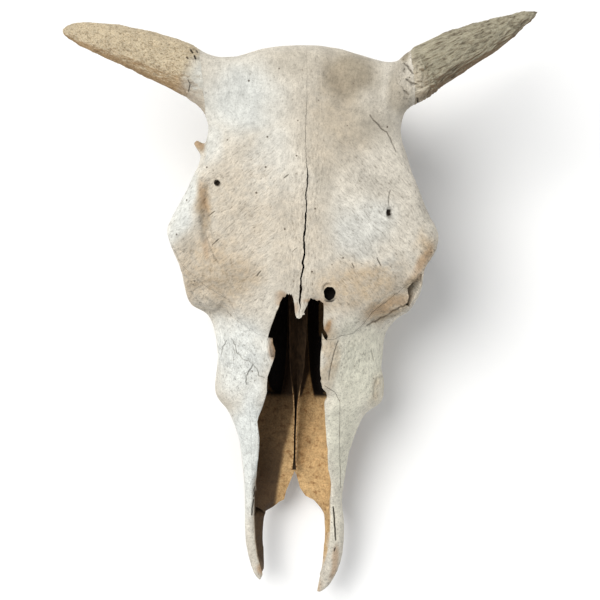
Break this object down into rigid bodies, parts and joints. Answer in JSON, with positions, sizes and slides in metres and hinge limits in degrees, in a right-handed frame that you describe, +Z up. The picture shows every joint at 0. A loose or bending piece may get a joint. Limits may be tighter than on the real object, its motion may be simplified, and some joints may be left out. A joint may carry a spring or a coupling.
{
  "type": "cow skull",
  "caption": "Weathered cow skull without lower jaw, with short horn cores, open nasal cavity, eye sockets, cheek teeth and slender premaxillae, resting on its teeth.",
  "frame": {"origin": "middle of the bounding box, at the level of the floor the skull lies on", "axes": "+Z up out of the forehead, +Y towards the poll between the horns, -Y towards the nose, +X to the right as the picture shows it, which is the animal's own left; node names left and right follow the picture"},
  "size_m": [0.4078, 0.5228, 0.1959],
  "materials": {
    "bone_forehead": "matte dry weathered bone, cream with tan stain",
    "bone_face_left": "matte dry bleached bone, near white",
    "bone_face_right": "matte dry bone, greenish grey",
    "bone_inner": "matte brown inner bone",
    "horn_core_tan": "matte porous tan bone",
    "horn_core_grey": "matte grooved grey brown bone"
  },
  "bodies": {
    "root": {"braincase": "bone_forehead", "frontal_left": "bone_forehead", "frontal_right": "bone_forehead", "zygomatic_left": "bone_forehead", "zygomatic_right": "bone_forehead", "maxilla_left": "bone_face_left", "premaxilla_left": "bone_face_left", "maxilla_right": "bone_face_right", "premaxilla_right": "bone_face_right", "vomer": "bone_inner", "horn_core_left": "horn_core_tan", "horn_core_right": "horn_core_grey"}
  },
  "joints": []
}
